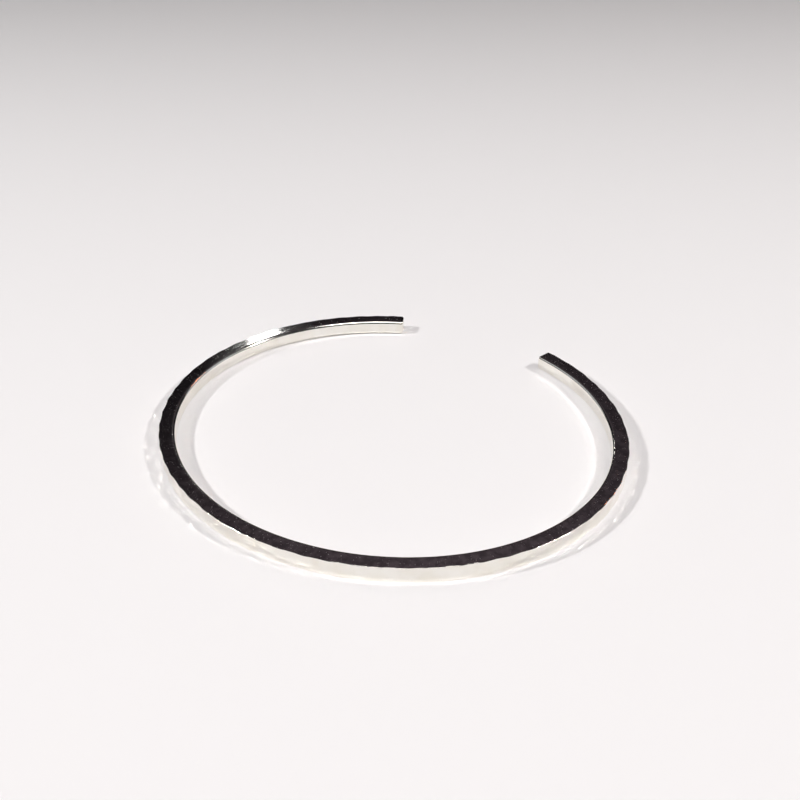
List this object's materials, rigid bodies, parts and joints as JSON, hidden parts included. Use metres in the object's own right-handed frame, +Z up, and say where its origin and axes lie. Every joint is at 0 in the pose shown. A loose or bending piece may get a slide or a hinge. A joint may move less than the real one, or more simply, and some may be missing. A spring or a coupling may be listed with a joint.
{
  "type": "cuff bracelet",
  "caption": "Slim open oval cuff bracelet bent from square silver wire, hammered on its outer face, with polished flats, rounded inner edges and filed ends.",
  "frame": {"origin": "under the middle of the cuff's box, on the surface that its lower flat rests on", "axes": "+X across the oval's long axis, +Y towards the opening between the ends, +Z up, out of the upper flat"},
  "size_m": [0.0622, 0.0548, 0.0021],
  "materials": {
    "silver": "polished sterling silver, hammered on the outer face"
  },
  "bodies": {
    "root": {"cuff_band": "silver"}
  },
  "joints": []
}
